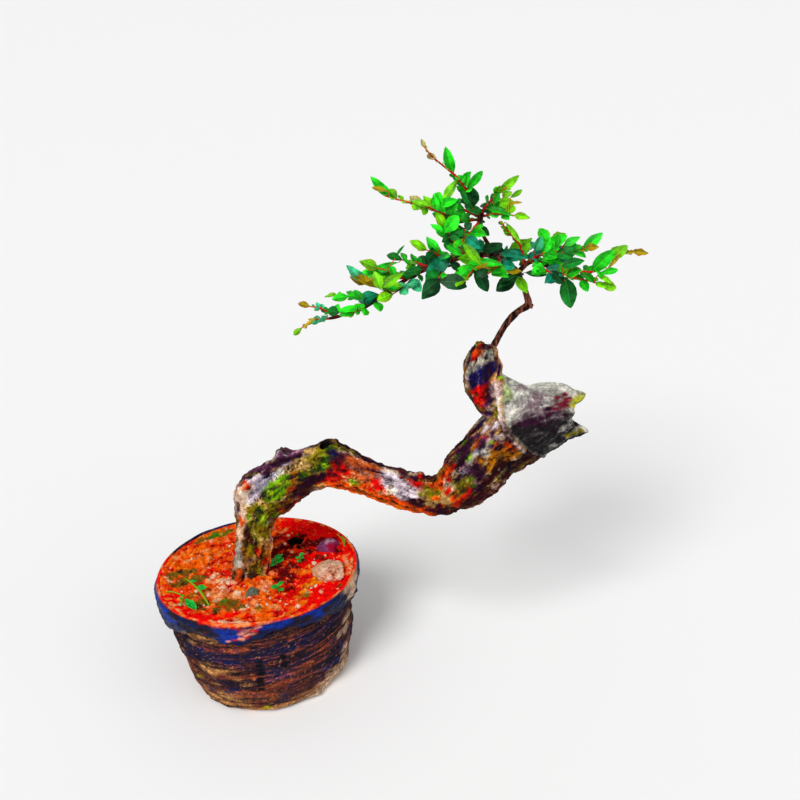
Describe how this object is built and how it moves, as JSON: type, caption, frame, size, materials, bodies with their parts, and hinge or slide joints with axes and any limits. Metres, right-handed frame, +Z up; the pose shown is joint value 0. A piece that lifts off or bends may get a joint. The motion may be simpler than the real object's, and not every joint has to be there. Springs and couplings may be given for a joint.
{
  "type": "crape myrtle bonsai",
  "caption": "Slanting crape myrtle bonsai with a bowed trunk, a dead stump and a leafy crown, growing in red soil in a soft black nursery bag.",
  "frame": {"origin": "under the middle of the bag, on the surface that it stands on", "axes": "+Z up, +X the way the trunk leans, -Y towards the viewer of the picture"},
  "size_m": [0.5043, 0.1908, 0.564],
  "materials": {
    "bag_film": "soft black polythene film, satin, dusty and creased",
    "soil": "damp red laterite soil, crumbly, with pale grit and moss",
    "bark": "old bark, mottled, mossy at the foot, bare grey wood at the stump",
    "pale_stone": "rough pale pink pebble",
    "purple_stone": "rough purple pebble",
    "grey_stone": "rough grey green pebble",
    "seedling_leaf": "thin fresh green leaf",
    "leaf": "smooth satin green leaf on a thin red stem",
    "old_leaf": "glossy dark green older leaf"
  },
  "bodies": {
    "root": {"grow_bag": "bag_film", "soil": "soil", "trunk": "bark", "stone_pale": "pale_stone", "stone_purple": "purple_stone", "stone_grey": "grey_stone", "seedling_left": "seedling_leaf", "seedling_front_left": "seedling_leaf", "seedling_trunk": "seedling_leaf", "seedling_front": "seedling_leaf", "seedling_middle": "seedling_leaf", "grass_sprig": "seedling_leaf", "shoot_right_long": "leaf", "shoot_right_upper": "leaf", "shoot_right_low": "leaf", "shoot_right_hanging": "old_leaf", "shoot_right_back": "leaf", "shoot_right_far": "leaf", "shoot_right_front": "leaf", "shoot_right_crown": "leaf", "shoot_centre_low": "old_leaf", "shoot_centre_front": "leaf", "shoot_centre_back": "leaf", "shoot_centre_left": "leaf", "shoot_centre_far": "leaf", "shoot_centre_crown": "leaf", "shoot_left_crown": "leaf", "shoot_left_rise": "leaf", "shoot_left_shade": "old_leaf", "shoot_left_back": "leaf", "shoot_mid_rise": "leaf", "shoot_mid_front": "leaf", "shoot_mid_left": "leaf", "shoot_mid_back": "leaf", "shoot_low_rise": "leaf", "shoot_low_front": "leaf", "shoot_low_back": "leaf", "shoot_tip_upper": "leaf", "shoot_tip_lower": "leaf", "shoot_top_tall": "leaf", "shoot_top_left": "leaf", "shoot_top_front": "leaf", "shoot_top_right": "leaf", "shoot_top_right_low": "leaf", "shoot_top_right_back": "leaf", "shoot_top_back": "leaf", "shoot_mid_riser": "leaf"}
  },
  "joints": []
}
